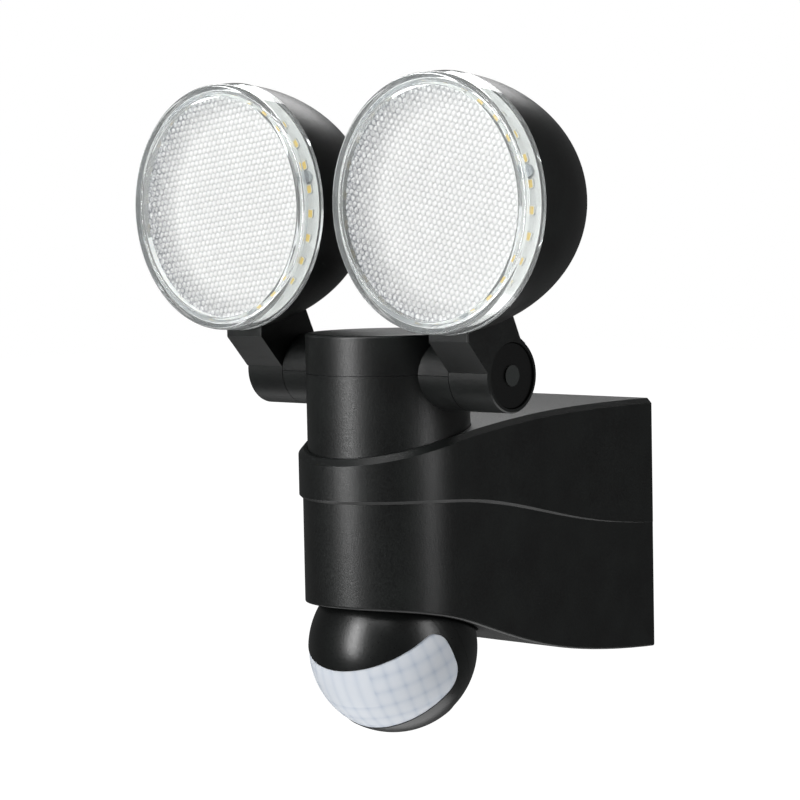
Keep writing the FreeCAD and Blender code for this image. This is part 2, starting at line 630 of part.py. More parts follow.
def make_lamp(side, sign):
    """Everything in the mouth of a lamp head: heat sink, board, LEDs, seal and clear cover."""
    x, y, z = sign * mm("head_spread"), RIM_Y, HEAD_Z
    board_back = BOARD_THICK
    places = board_screw_places()

    def holes(name, radius):
        return [rod(f"{name}_{side}_{i}", radius, 12.0, (x + dx, y - 2, z + dz), "y")
                for i, (dx, dz, _) in enumerate(places)]

    centre_hole = rod(f"sink_wire_hole_{side}", 4.0, 12.0, (x, y - 2, z - 34), "y")
    sink = rod(f"sink_disc_{side}", 45.5, 2.0, (x, y + board_back, z), "y")
    deliver(f"heat_sink_{side}", cut(f"heat_sink_{side}", sink, holes("sink_hole", 1.7) + [centre_hole]))
    board = rod(f"board_disc_{side}", "Sizes.board_radius", BOARD_THICK, (x, y, z), "y")
    deliver(f"led_board_{side}", cut(f"led_board_{side}", board, holes("board_hole", 1.7)))
    deliver(f"board_screws_{side}", group(f"board_screws_{side}", [
        screw(f"board_screw_{side}_{i}", (x + dx, y, z + dz), (0, 1, 0), (2.6, 1.7), (1.4, 8.0))
        for i, (dx, dz, _) in enumerate(places)]))

    long, wide, high = 3.5, 2.8, 0.8
    leds = []
    rings = ((mm("led_ring"), LED_COUNT, LED_START), (mm("led_ring") - 13, 16, 11.25),
             (mm("led_ring") - 26, 8, 22.5))
    for radius, count, start in rings:
        for i, (dx, dz, angle) in enumerate(around(radius, count, start)):
            led = bind(doc.addObject("Part::Box", f"led_{side}_{count}_{i}"),
                       Length=wide, Width=high, Height=long)
            turn = Rotation(Vector(0, 1, 0), -angle)
            led.Placement = Placement(Vector(x + dx, y, z + dz), turn) * Placement(
                Vector(-wide / 2, -high, -long / 2), Rotation())
            leds.append(led)
    deliver(f"leds_{side}", group(f"leds_{side}", leds))
    deliver(f"lens_gasket_{side}", seat_ring(f"lens_gasket_{side}", (x, y, z)))

    depth = mm("cover_depth")
    foot = mm("cover_foot")
    front = mm("cover_radius")
    prism = mm("prism_radius")
    face = -depth + 3
    under = -depth + 5
    outline = [(-depth, prism, 0.4), (-depth, front, 1.6), (-0.1, foot, 0.4), (-0.1, foot - 2.3, 0),
               (face, front - 2.4, 1), (under, prism + 1.4, 0.6), (under, 0, 0), (face, 0, 0),
               (face, prism, 0.4)]
    deliver(f"lens_cover_{side}", turned(f"lens_cover_{side}", rounded(outline), (x, y, z)))


# ---------------------------------------------------------------- sensor
BALL_FRAME = Placement(Vector(0, AXIS_Y, BALL_Z), Rotation(Vector(1, 0, 0), mm("ball_tilt")))
BAND_START = -2.1
BAND_STEP = 0.3
PIR_BOARD_Y = -9.6
PIR_POST = (13.0, -9.0)
BALL_SCREW = (15.0, -23.0)
DIAL_RADIUS = 3.6
DIALS = {"dial_time": -17.0, "dial_light": 0.0, "dial_range": 17.0}


def in_ball(obj):
    """Move a piece that was made about the ball's own centre, looking along -Y, to its place."""
    obj.Placement = BALL_FRAME * obj.Placement
    return obj


def ball_half(name, start, end, radius):
    """The part of a sphere between two planes across the looking direction."""
    whole = ball(name + "_whole", radius, (0, 0, 0))
    return overlap(name, [whole, block(name + "_slab", (-40, start, -40), (40, end, 40))])


def stem_slot(name):
    """The slot that lets the stem through at every tilt, as a sector about the tilt axis."""
    first, last = -9.5, 54.5
    sector = bind(doc.addObject("Part::Cylinder", name), Radius=40.0, Height=10.0, Angle=last - first)
    back, up = math.sin(math.radians(last)), math.cos(math.radians(last))
    turn = Rotation(Vector(0, back, up), Vector(0, -up, back), Vector(1, 0, 0), "ZXY")
    sector.Placement = Placement(Vector(-5, 0, 0), turn)
    return sector


def lens_window(name, inset):
    """The lens outline seen from the side of the ball: a flat top, a round rear end, a sloping foot."""
    corners = [(-38, 10.2 - inset, 0), (-1.6 - inset, 14.8 - inset, 6.5), (-1.2 - inset, -10.7 + inset, 11),
               (-38, -24.7 + inset, 0)]
    return padded(name, "YZ_Plane", rounded(corners), 80.0, symmetric=True)


def make_ball_shells():
    outer = mm("ball_radius")
    inner = outer - mm("ball_wall")
    seam = mm("seam_back")
    half_gap = 0.05
    shaft_x, shaft_z = BALL_SCREW
    post_x, post_z = PIR_POST

    front = join("front_solid", [
        ball_half("front_mask", -40, BAND_START, outer),
        ball_half("front_band", BAND_START - 1, seam - half_gap, outer - BAND_STEP),
    ])
    hollow = ball("front_hollow", inner, (0, 0, 0))
    front_open = cut("front_open", front, [hollow])
    bosses = [overlap(f"front_boss_{side}", [
        rod(f"front_boss_rod_{side}", 3.2, 30.0, (sign * shaft_x, seam - half_gap - 30, shaft_z), "y"),
        ball(f"front_boss_room_{side}", outer - 1, (0, 0, 0))]) for side, sign in SIDES.items()]
    front_full = join("front_full", [front_open] + bosses)
    tools = [lens_window("front_window", 0.0), stem_slot("front_slot")]
    for side, sign in SIDES.items():
        tools.append(rod(f"front_bore_{side}", 1.3, 12.0, (sign * shaft_x, seam - 11, shaft_z), "y"))
    deliver("sensor_front_shell", in_ball(cut("sensor_front_shell", front_full, tools)))

    rear = cut("rear_open", ball_half("rear_half", seam + half_gap, 40, outer - BAND_STEP),
               [ball("rear_hollow_ball", inner - BAND_STEP, (0, 0, 0))])
    room = ball("rear_room", outer - 1, (0, 0, 0))
    pieces = [rear]
    for side, sign in SIDES.items():
        cheek_start, cheek_end = x_span(sign, 5.2, 9)
        cheek = block(f"pin_cheek_{side}", (cheek_start, -5.5, -5), (cheek_end, 34, 5))
        boss = rod(f"rear_boss_{side}", 3.6, 30.0, (sign * shaft_x, seam + half_gap, shaft_z), "y")
        post = rod(f"board_post_{side}", 2.4, 46.0, (sign * post_x, PIR_BOARD_Y + 1.6, post_z), "y")
        pieces.append(overlap(f"rear_inside_{side}", [join(f"rear_pegs_{side}", [cheek, boss, post]), room]))
    rear_full = join("rear_full", pieces)
    tools = [rod("pin_hole", "Sizes.pin_radius", 30.0, (-15, 0, 0), "x"), stem_slot("rear_slot")]
    for side, sign in SIDES.items():
        tools.append(rod(f"rear_bore_{side}", 1.6, 40.0, (sign * shaft_x, seam - 1, shaft_z), "y"))
        tools.append(rod(f"rear_well_{side}", 2.8, 30.0, (sign * shaft_x, seam + 3.4, shaft_z), "y"))
        tools.append(rod(f"post_bore_{side}", 0.9, 8.0, (sign * post_x, PIR_BOARD_Y, post_z), "y"))
    for label, sway in DIALS.items():
        tools.append(dial_rod(label + "_hole", sway, DIAL_RADIUS + 0.3, 24.0, 40.0))
    deliver("sensor_rear_shell", in_ball(cut("sensor_rear_shell", rear_full, tools)))
    deliver("ball_screws", in_ball(group("ball_screws", [
        screw(f"ball_screw_{side}", (sign * shaft_x, seam + 3.4, shaft_z), (0, -1, 0),
              (2.6, 1.8), (1.3, 12.0))
        for side, sign in SIDES.items()])))


def dial_way(sway):
    """Direction of a dial from the ball's centre: backwards, downwards and a little sideways."""
    side = math.radians(sway)
    down = math.radians(42.0)
    return Vector(math.sin(side), math.cos(side) * math.cos(down), -math.cos(side) * math.sin(down))


def dial_rod(name, sway, radius, start, end):
    way = dial_way(sway)
    return rod(name, radius, end - start, tuple(way * start), tuple(way))


def make_dials():
    for label, sway in DIALS.items():
        way = dial_way(sway)
        knob = dial_rod(label + "_knob", sway, DIAL_RADIUS, 29.4, 33.9)
        slot = bind(doc.addObject("Part::Box", label + "_slot"), Length=5.4, Width=1.1, Height=2.0)
        slot.Placement = Placement(way * 33.0, Rotation(Vector(0, 0, 1), way)) * Placement(
            Vector(-2.7, -0.55, 0), Rotation())
        deliver(label, in_ball(cut(label, knob, [slot])))


def make_detector():
    outer = mm("ball_radius") - 0.25
    shell = cut("lens_shell", ball("lens_outer", outer, (0, 0, 0)),
                [ball("lens_inner", outer - 1.0, (0, 0, 0))])
    deliver("pir_lens", in_ball(overlap("pir_lens", [shell, lens_window("lens_outline", 0.1)])))
    post_x, post_z = PIR_POST
    board = block("pir_sheet", (-17, PIR_BOARD_Y, -14), (17, PIR_BOARD_Y + 1.6, 12))
    holes = [rod(f"pir_hole_{side}", 1.1, 6.0, (sign * post_x, PIR_BOARD_Y - 2, post_z), "y")
             for side, sign in SIDES.items()]
    deliver("pir_board", in_ball(cut("pir_board", board, holes)))
    deliver("pir_board_screws", in_ball(group("pir_board_screws", [
        screw(f"pir_screw_{side}", (sign * post_x, PIR_BOARD_Y, post_z), (0, 1, 0), (1.9, 1.2), (0.9, 6.0))
        for side, sign in SIDES.items()])))
    can = join("pyro_solid", [
        rod("pyro_can", 4.2, 4.2, (0, PIR_BOARD_Y - 4.2, -1), "y"),
        rod("pyro_foot", 4.8, 0.8, (0, PIR_BOARD_Y - 0.8, -1), "y"),
    ])
    window = block("pyro_window", (-2, PIR_BOARD_Y - 5, -2.5), (2, PIR_BOARD_Y - 3.9, 0.5))
    deliver("pyro_sensor", in_ball(cut("pyro_sensor", can, [window])))
    deliver("tilt_pin", in_ball(rod("tilt_pin", "Sizes.pin_radius", 20.0, (-10, 0, 0), "x")))


def make_yoke():
    top = 4.0
    under = -4.6
    groove_z = 1.7
    fin = 4.2
    eye = rod("yoke_eye", 6.4, 2 * fin, (-fin, AXIS_Y, BALL_Z), "x")
    stem = join("yoke_stem", [
        rod("yoke_hub", "Sizes.stem_radius", top - under, (0, AXIS_Y, under)),
        block("yoke_fin", (-fin, AXIS_Y - fin, BALL_Z), (fin, AXIS_Y + fin, under + 1)),
        eye,
    ])
    groove = cut("clip_groove", rod("groove_disc", 10.0, 1.3, (0, AXIS_Y, groove_z)),
                 [rod("groove_core", 7.0, 3.0, (0, AXIS_Y, groove_z - 1))])
    pin_way = rod("yoke_pin_way", "Sizes.pin_radius + Sizes.running_gap", 14.0, (-7, AXIS_Y, BALL_Z), "x")
    wire_way = rod("yoke_wire_way", 2.2, 30.0, (0, AXIS_Y, BALL_Z + 8))
    deliver("sensor_yoke", cut("sensor_yoke", stem, [groove, pin_way, wire_way]))
    ring = cut("clip_ring", rod("clip_disc", 10.4, 1.1, (0, AXIS_Y, groove_z + 0.1)),
               [rod("clip_bore", 7.1, 3.0, (0, AXIS_Y, groove_z - 1))])
    deliver("yoke_clip", cut("yoke_clip", ring, [block("clip_mouth", (-4, AXIS_Y, 0), (4, AXIS_Y + 12, 4))]))


# ---------------------------------------------------------------- build, test and write
make_bracket()
make_wall_plate()
make_terminals()
make_column_locks()
make_column_body()
make_column_cap()
make_driver()
for head_side, head_sign in SIDES.items():
    make_pivot(head_side, head_sign)
    make_head_shell(head_side, head_sign)
    make_lamp(head_side, head_sign)
make_yoke()
make_ball_shells()
make_detector()
make_dials()
doc.recompute()

failed = [o.Name for o in doc.Objects if "Invalid" in o.State or "Error" in o.State]
if failed:
    raise RuntimeError("failed objects: " + ", ".join(failed))
for node in nodes:
    if node.Shape.isNull() or not node.Shape.isValid() or node.Shape.Volume <= 0:
        raise RuntimeError("bad shape: " + node.Label)
for node in nodes:
    node.Shape.exportStep(f"parts/{node.Label}.step")
    print(f"{node.Label:24s} solids {len(node.Shape.Solids):3d}  volume {node.Shape.Volume:10.1f} mm3")
print(len(nodes), "nodes written")
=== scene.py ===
# %% [markdown]
# # A twin-head floodlight with a motion sensor
#
# Two round LED lamps stand on a column, the column sits in a bracket on a wall, and a ball with a white lens
# hangs below and watches for movement. The hard shapes come ready from the CAD model. This lesson adds what
# CAD leaves plain: clear covers with their field of prisms, the LED packages, the faceted sensor lens, and a
# finish for every part.

# %% Load the model
import json
import math
import random

import bmesh
import bpy
from mathutils import Matrix, Vector


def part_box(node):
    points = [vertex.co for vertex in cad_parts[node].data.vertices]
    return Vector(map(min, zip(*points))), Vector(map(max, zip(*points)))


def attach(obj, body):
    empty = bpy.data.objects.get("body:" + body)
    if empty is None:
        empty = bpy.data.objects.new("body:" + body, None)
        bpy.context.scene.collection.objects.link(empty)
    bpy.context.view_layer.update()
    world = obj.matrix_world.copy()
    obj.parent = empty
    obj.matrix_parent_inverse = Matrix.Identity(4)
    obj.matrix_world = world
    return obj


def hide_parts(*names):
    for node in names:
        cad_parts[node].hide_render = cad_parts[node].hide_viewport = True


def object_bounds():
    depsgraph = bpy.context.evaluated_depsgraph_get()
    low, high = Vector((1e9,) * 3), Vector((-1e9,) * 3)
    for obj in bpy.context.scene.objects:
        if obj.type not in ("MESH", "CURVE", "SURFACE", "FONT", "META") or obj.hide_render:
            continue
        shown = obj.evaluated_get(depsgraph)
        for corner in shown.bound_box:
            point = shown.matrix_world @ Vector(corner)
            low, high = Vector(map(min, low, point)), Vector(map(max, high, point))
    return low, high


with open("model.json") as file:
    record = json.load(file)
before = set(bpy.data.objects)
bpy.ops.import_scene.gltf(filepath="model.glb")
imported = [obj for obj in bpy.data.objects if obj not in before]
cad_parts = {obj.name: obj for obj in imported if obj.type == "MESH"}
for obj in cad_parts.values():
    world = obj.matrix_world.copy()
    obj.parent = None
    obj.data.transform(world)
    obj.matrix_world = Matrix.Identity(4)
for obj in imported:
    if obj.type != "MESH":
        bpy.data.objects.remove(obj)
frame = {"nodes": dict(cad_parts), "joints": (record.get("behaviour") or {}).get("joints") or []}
CAD_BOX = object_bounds()
MM = 0.001
nodes = frame["nodes"]
SIDES = ("right", "left")
print(len(nodes), "CAD nodes, box", [[round(v, 4) for v in corner] for corner in CAD_BOX])

# %% [markdown]
# ## Camera
#
# The camera looks at the lamp a little from its right and a little from above, through a long lens, so that
# upright lines stay nearly upright. It is turned by a degree about its own line of sight. The three axes of
# the camera are worked out as vectors, which is plainer than chaining rotations.

# %% Place the camera
VIEW_ROUND = math.radians(42.255)
VIEW_ABOVE = math.radians(4.186)
VIEW_ROLL = math.radians(1.134)
VIEW_DISTANCE = 1.1084
FOCAL_LENGTH = 122.573
SENSOR_WIDTH = 36
AIM = Vector((4.11, -127.43, 61.19)) * MM


def direction(turn, rise):
    """The unit vector that points round from the front (-Y) by turn, towards +X, and up by rise."""
    return Vector((math.sin(turn) * math.cos(rise), -math.cos(turn) * math.cos(rise), math.sin(rise)))


away = direction(VIEW_ROUND, VIEW_ABOVE)
level = Vector((math.cos(VIEW_ROUND), math.sin(VIEW_ROUND), 0))
upward = away.cross(level)
across = level * math.cos(VIEW_ROLL) - upward * math.sin(VIEW_ROLL)
upright = level * math.sin(VIEW_ROLL) + upward * math.cos(VIEW_ROLL)

lens = bpy.data.cameras.new("camera")
lens.lens = FOCAL_LENGTH
lens.sensor_width = SENSOR_WIDTH
lens.clip_start = 0.05
turned = Matrix((across, upright, away)).transposed().to_4x4()
camera = bpy.data.objects.new("camera", lens)
camera.matrix_world = Matrix.Translation(AIM + away * VIEW_DISTANCE) @ turned
bpy.context.scene.collection.objects.link(camera)
bpy.context.scene.camera = camera
bpy.context.scene.view_settings.view_transform = "Standard"
print("camera at", [round(v, 3) for v in camera.location])

# %% [markdown]
# ## Helpers for materials
#
# Colours are written as the hex values a screen shows, and a shader wants linear light, so one function turns
# one into the other. Another adds a node, sets its values and links its inputs. Object coordinates are in
# metres, so a grain of a given size in millimetres needs a scale of one over that size.

# %% Colour and node helpers
def colour(hex_code):
    """An sRGB hex colour as linear RGBA."""
    steps = [int(hex_code[i:i + 2], 16) / 255 for i in (1, 3, 5)]
    return [s / 12.92 if s <= 0.04045 else ((s + 0.055) / 1.055) ** 2.4 for s in steps] + [1.0]


def per_mm(size):
    """The texture scale at which one feature is about this many millimetres."""
    return 1 / (size * MM)


def add(tree, kind, settings=None, links=None, **choices):
    """Adds a shader node: choices are its menus, settings its input values, links its input sockets."""
    made = tree.nodes.new("ShaderNode" + kind)
    for name, value in choices.items():
        setattr(made, name, value)
    for name, value in (settings or {}).items():
        made.inputs[name].default_value = value
    for name, socket in (links or {}).items():
        tree.links.new(socket, made.inputs[name])
    return made


def empty_material(name):
    """A material with only its output node."""
    material = bpy.data.materials.new(name)
    material.use_nodes = True
    material.node_tree.nodes.clear()
    return material, material.node_tree, add(material.node_tree, "OutputMaterial")


print("helpers ready; white is", [round(v, 2) for v in colour("#FFFFFF")])

# %% [markdown]
# ## One recipe for moulded and cast surfaces
#
# A moulded or cast surface is never of one tone. It has soft clouds, which come from how the melt flowed, and
# a fine grain, which comes from the tool. One function makes both, and its numbers turn the same nodes into
# satin plastic, foam, rubber or plated steel.

# %% A grained surface
GRAIN_LOW, GRAIN_HIGH = 0.3, 0.7


def grained(name, tones, roughness, grain, bump, ior=1.5, metallic=0.0, cloud=18.0):
    """A moulded or cast surface: two close tones in soft clouds and in a fine grain, a roughness that wanders
    between two values, and relief: grain and bump are the grain's size and depth in millimetres."""
    material, tree, output = empty_material(name)
    place = add(tree, "TexCoord").outputs["Object"]
    clouds = add(tree, "TexNoise", {"Scale": per_mm(cloud), "Detail": 2.0}, {"Vector": place})
    fine = add(tree, "TexNoise", {"Scale": per_mm(grain), "Detail": 3.0, "Roughness": 0.6}, {"Vector": place})
    both = add(tree, "Math", links={0: clouds.outputs["Fac"], 1: fine.outputs["Fac"]}, operation="ADD")
    mottle = add(tree, "MapRange", {"From Min": 0.75, "From Max": 1.25}, {"Value": both.outputs["Value"]})
    tone = add(tree, "MixRGB", {"Color1": colour(tones[0]), "Color2": colour(tones[1])},
               {"Fac": mottle.outputs["Result"]})
    gloss = add(tree, "MapRange", {"From Min": GRAIN_LOW, "From Max": GRAIN_HIGH, "To Min": roughness[0],
                                   "To Max": roughness[1]}, {"Value": fine.outputs["Fac"]})
    relief = add(tree, "Bump", {"Strength": 1.0, "Distance": bump * MM}, {"Height": fine.outputs["Fac"]})
    surface = add(tree, "BsdfPrincipled", {"IOR": ior, "Metallic": metallic},
                  {"Base Color": tone.outputs["Color"], "Roughness": gloss.outputs["Result"],
                   "Normal": relief.outputs["Normal"]})
    tree.links.new(surface.outputs["BSDF"], output.inputs["Surface"])
    return material


print("a grain is read between", GRAIN_LOW, "and", GRAIN_HIGH, "of its noise")

# %% [markdown]
# ## Black plastic
#
# The housings are ABS, moulded in a tool whose walls were spark-eroded to a fine matt grain. That leaves a
# satin surface: a soft, wide highlight with a slight sparkle, and a very dark neutral body colour. The real
# grain is about 0.15 mm, drawn here at 0.7 mm so that it shows. The sensor's shells come from a smoother
# tool.

# %% Make the black plastics
ABS_IOR = 1.53
abs_grained = grained("ABS, moulded with a spark-eroded grain", ("#040505", "#131615"), (0.34, 0.45),
                      0.7, 0.045, ABS_IOR)
abs_smooth = grained("ABS, moulded in a finer tool", ("#050606", "#101312"), (0.27, 0.35), 0.6, 0.03, ABS_IOR)
print("black plastics:", abs_grained.name, "|", abs_smooth.name)

# %% [markdown]
# ## The end caps
#
# An end cap closes the barrel of a lamp's arm. It comes from a polished tool, but its middle boss is dull and
# a little paler. Both are on one CAD part, so a mask by distance from the arm's axis swaps one finish for the
# other. The axis is read from the model's joints.

# %% Make the end caps' plastic
BOSS_RADIUS = 4.15


def joint_place(name):
    """Where a joint's axis passes, in metres."""
    return next(joint["pos_m"] for joint in frame["joints"] if joint["name"] == name)


def end_cap_plastic():
    """ABS with a polished disc and a dull, paler boss on the arm's axis."""
    material = grained("ABS, polished tool with a grained boss", ("#070808", "#0A0B0B"), (0.27, 0.33),
                       0.5, 0.012, ABS_IOR)
    tree = material.node_tree
    polished = next(node for node in tree.nodes if node.type == "BSDF_PRINCIPLED")
    axis = joint_place("head_right_tilt")
    place = add(tree, "TexCoord").outputs["Object"]
    beside = add(tree, "VectorMath", {1: (0, 1, 1)}, {0: place}, operation="MULTIPLY")
    reach = add(tree, "VectorMath", {1: (0, axis[1], axis[2])}, {0: beside.outputs["Vector"]},
                operation="DISTANCE")
    inside = add(tree, "Math", {1: BOSS_RADIUS * MM}, {0: reach.outputs["Value"]}, operation="LESS_THAN")
    fine = add(tree, "TexNoise", {"Scale": per_mm(0.5), "Detail": 2.0}, {"Vector": place})
    relief = add(tree, "Bump", {"Strength": 1.0, "Distance": 0.06 * MM}, {"Height": fine.outputs["Fac"]})
    dull = add(tree, "BsdfPrincipled", {"Base Color": colour("#242827"), "Roughness": 0.6, "IOR": ABS_IOR},
               {"Normal": relief.outputs["Normal"]})
    both = add(tree, "MixShader", links={"Fac": inside.outputs["Value"], 1: polished.outputs["BSDF"],
                                         2: dull.outputs["BSDF"]})
    output = next(node for node in tree.nodes if node.type == "OUTPUT_MATERIAL")
    tree.links.new(both.outputs["Shader"], output.inputs["Surface"])
    return material


cap_plastic = end_cap_plastic()
print("end caps:", cap_plastic.name, "with a boss of", 2 * BOSS_RADIUS, "mm")

# %% [markdown]
# ## Inner plastics, seals and metals
#
# These parts sit inside or behind, and still get what they are made of: glass-filled nylon, foam, silicone
# rubber, zinc-plated steel, copper wire, tinned board. A plated screw has fine turning marks, which a little
# noise in its roughness stands for.

# %% Make the hidden materials
nylon = grained("Glass-filled nylon, moulded", ("#3A3E40", "#44484A"), (0.5, 0.62), 0.5, 0.03, 1.53)
foam = grained("EPDM foam, die-cut", ("#1C1D1E", "#27282A"), (0.85, 0.95), 0.9, 0.15, 1.5)
silicone = grained("Silicone rubber, moulded", ("#2A2C2E", "#303335"), (0.55, 0.66), 0.7, 0.02, 1.41)
zinc = grained("Steel, zinc plated", ("#B9BDC2", "#CDD1D4"), (0.22, 0.36), 0.25, 0.01, metallic=1.0, cloud=3.0)
fibreglass = grained("Fibreglass board, green solder mask", ("#1E5B36", "#246A40"), (0.3, 0.4), 1.1, 0.01, 1.5)
winding = grained("Copper wire, enamelled and wound", ("#8A4B22", "#A65E2E"), (0.25, 0.4), 0.5, 0.08, 1.6)
sleeve = grained("PET sleeve, shrunk on", ("#22303F", "#293A4B"), (0.25, 0.35), 2.0, 0.02, 1.57)
aluminium = grained("Aluminium sheet, rolled and punched", ("#C4C7C9", "#D3D5D6"), (0.3, 0.42), 0.6, 0.01,
                    metallic=1.0, cloud=8.0)
dial_plastic = grained("Acetal, moulded", ("#5B6063", "#666B6E"), (0.38, 0.48), 0.5, 0.02, 1.48)
print("hidden finishes, from", nylon.name, "to", dial_plastic.name)

# %% [markdown]
# ## The white LED board
#
# The board is an aluminium sheet with a white solder mask, which is there to throw stray light forwards. The
# mask is sprayed and baked, so it is smooth and faintly uneven.

# %% Make the white mask
white_mask = grained("Solder mask, white, sprayed and baked", ("#BFBFBD", "#C5C5C3"), (0.32, 0.4), 1.5, 0.01, 1.5)
print("board:", white_mask.name)

# %% [markdown]
# ## Clear polycarbonate
#
# The covers are clear polycarbonate. Real glass in a path tracer lets no straight light through to what
# lies behind it, so the board would go dark. The usual cure is to let shadow rays pass: a Light Path node
# swaps the glass for a transparent shader when a ray is only testing for light. Camera rays still bend at
# every face. The prisms scatter far more light than the rims do, so a share of milky plastic is mixed in,
# and an attribute on the piece says where shade is painted into that milky share.

# %% Make the clear plastic
PC_IOR = 1.586


def clear_plastic(name, tint, roughness, haze):
    """Polycarbonate that bends what is seen through it and lets light pass straight to what is behind.
    haze is the share that scatters light like a milky plastic, with shade painted on it by an attribute of the
    piece."""
    material, tree, output = empty_material(name)
    place = add(tree, "TexCoord").outputs["Object"]
    flow = add(tree, "TexNoise", {"Scale": per_mm(9.0), "Detail": 1.5}, {"Vector": place})
    clear = add(tree, "BsdfGlass", {"Color": colour(tint), "Roughness": roughness, "IOR": PC_IOR})
    # Painted shade: an attribute of the piece turns the milky share from white to mid grey.
    valley = add(tree, "Attribute", attribute_name="valley")
    tone = add(tree, "MixRGB", {"Color1": colour("#F8F8F7"), "Color2": colour("#7C7F83")},
               {"Fac": valley.outputs["Fac"]})
    milky = add(tree, "BsdfPrincipled", {"Roughness": 0.18, "IOR": PC_IOR}, {"Base Color": tone.outputs["Color"]})
    spots = add(tree, "MapRange", {"From Min": 0.35, "From Max": 0.65, "To Min": haze * 0.98,
                                   "To Max": haze * 1.02}, {"Value": flow.outputs["Fac"]})
    body = add(tree, "MixShader", links={"Fac": spots.outputs["Result"], 1: clear.outputs["BSDF"],
                                         2: milky.outputs["BSDF"]})
    straight = add(tree, "BsdfTransparent", {"Color": colour("#F2F4F4")})
    choice = add(tree, "MixShader", links={"Fac": add(tree, "LightPath").outputs["Is Shadow Ray"],
                                           1: body.outputs["Shader"], 2: straight.outputs["BSDF"]})
    tree.links.new(choice.outputs["Shader"], output.inputs["Surface"])
    return material


cover_clear = clear_plastic("Polycarbonate, clear, polished tool", "#FCFDFD", 0.0, 0.05)
prism_clear = clear_plastic("Polycarbonate, clear, prism tool", "#FEFEFE", 0.12, 0.85)
print("covers:", cover_clear.name, "|", prism_clear.name)

# %% [markdown]
# ## LED packages and the sensor's lens
#
# An LED package is a white moulded cup with a window of yellow phosphor set in silicone. The sensor's lens is
# a thin sheet of milky polyethylene, one of the few plastics that let body heat through. Shade is painted along
# its grooves, and an attribute on the piece says where they run.

# %% Make the LED and lens materials
led_cup = grained("PPA, white, moulded", ("#D2D1CC", "#D8D7D2"), (0.35, 0.45), 0.4, 0.005, 1.5)
phosphor = grained("Silicone with yellow phosphor", ("#D6B660", "#DFC26E"), (0.25, 0.35), 0.3, 0.01, 1.41)


def milky_lens():
    """Polyethylene that scatters light just under its skin, with shade painted along its facets' borders."""
    material, tree, output = empty_material("Polyethylene, milky, injection moulded")
    place = add(tree, "TexCoord").outputs["Object"]
    valley = add(tree, "Attribute", attribute_name="valley")
    clouds = add(tree, "TexNoise", {"Scale": per_mm(6.0), "Detail": 2.0}, {"Vector": place})
    tone = add(tree, "MixRGB", {"Color1": colour("#D2D8E0"), "Color2": colour("#DADEE4")},
               {"Fac": clouds.outputs["Fac"]})
    # Painted shade: the lens turns blue-grey along its grooves, as far as the piece's attribute says.
    painted_shade_lines = add(tree, "MixRGB", {"Color2": colour("#A9B6C8")},
                {"Fac": valley.outputs["Fac"], "Color1": tone.outputs["Color"]})
    fine = add(tree, "TexNoise", {"Scale": per_mm(0.6), "Detail": 2.0}, {"Vector": place})
    relief = add(tree, "Bump", {"Strength": 1.0, "Distance": 0.015 * MM}, {"Height": fine.outputs["Fac"]})
    skin = add(tree, "BsdfPrincipled", {"Roughness": 0.5, "IOR": 1.51, "Subsurface Weight": 0.25,
                                        "Subsurface Radius": (1.0, 1.0, 1.0), "Subsurface Scale": 0.8 * MM},
               {"Base Color": painted_shade_lines.outputs["Color"], "Normal": relief.outputs["Normal"]})
    tree.links.new(skin.outputs["BSDF"], output.inputs["Surface"])
    return material


lens_milky = milky_lens()
print("LEDs and lens:", led_cup.name, "|", phosphor.name, "|", lens_milky.name)

# %% [markdown]
# ## Hand each CAD part its finish
#
# Every CAD node arrives with a plain stand-in. A table from part to finish is easier to read than fifty
# separate lines, and a check at the end shows that none was forgotten.

# %% Assign the materials
FINISHES = {
    abs_grained: ["bracket_housing", "column_body", "column_cap", "head_shell_right", "head_shell_left"],
    abs_smooth: ["sensor_front_shell", "sensor_rear_shell"],
    cap_plastic: ["end_cap_right", "end_cap_left"],
    nylon: ["wall_plate", "terminal_block", "driver_relay", "sensor_yoke"],
    foam: ["wall_gasket"],
    silicone: ["cable_grommet", "cap_gasket", "lens_gasket_right", "lens_gasket_left"],
    zinc: ["housing_screws", "terminal_screws", "column_lock_screws", "cap_screws", "board_screws_right",
           "board_screws_left", "ball_screws", "pir_board_screws", "tilt_pin", "yoke_clip", "pyro_sensor",
           "pivot_bolt_right", "pivot_bolt_left", "pivot_washer_right", "pivot_washer_left",
           "pivot_nut_right", "pivot_nut_left"],
    fibreglass: ["driver_board", "pir_board"],
    winding: ["driver_transformer"],
    sleeve: ["driver_capacitor"],
    aluminium: ["heat_sink_right", "heat_sink_left"],
    dial_plastic: ["dial_time", "dial_light", "dial_range"],
    white_mask: ["led_board_right", "led_board_left"],
    led_cup: ["leds_right", "leds_left"],
    cover_clear: ["lens_cover_right", "lens_cover_left"],
    lens_milky: ["pir_lens"],
}
for finish, parts in FINISHES.items():
    for part in parts:
        for slot in nodes[part].material_slots:
            slot.material = finish
left_over = sorted(set(nodes) - {part for parts in FINISHES.values() for part in parts})
print("parts with no finish:", left_over)

# %% [markdown]
# ## Helpers for modelling
#
# Operators act on whatever is selected, so each piece starts from an empty selection. In edit mode, vertices
# and edges are chosen by where they are. Two points closer than a thousandth of a millimetre count as one.

# %% Selection helpers
SAME = 1e-6


def clear_selection():
    """Leaves edit mode and deselects everything."""
    if bpy.context.object and bpy.context.object.mode != "OBJECT":
        bpy.ops.object.mode_set(mode="OBJECT")
    bpy.ops.object.select_all(action="DESELECT")


def pick(piece):
    """Makes this the only selected object, and the active one."""
    clear_selection()
    piece.select_set(True)
    bpy.context.view_layer.objects.active = piece


def settle(piece, name, finish):
    """Names a finished piece, gives it its finish and puts its place into its mesh."""
    pick(piece)
    bpy.ops.object.transform_apply(location=True, rotation=True, scale=True)
    piece.name = name
    piece.data.materials.clear()
    piece.data.materials.append(finish)
    return piece


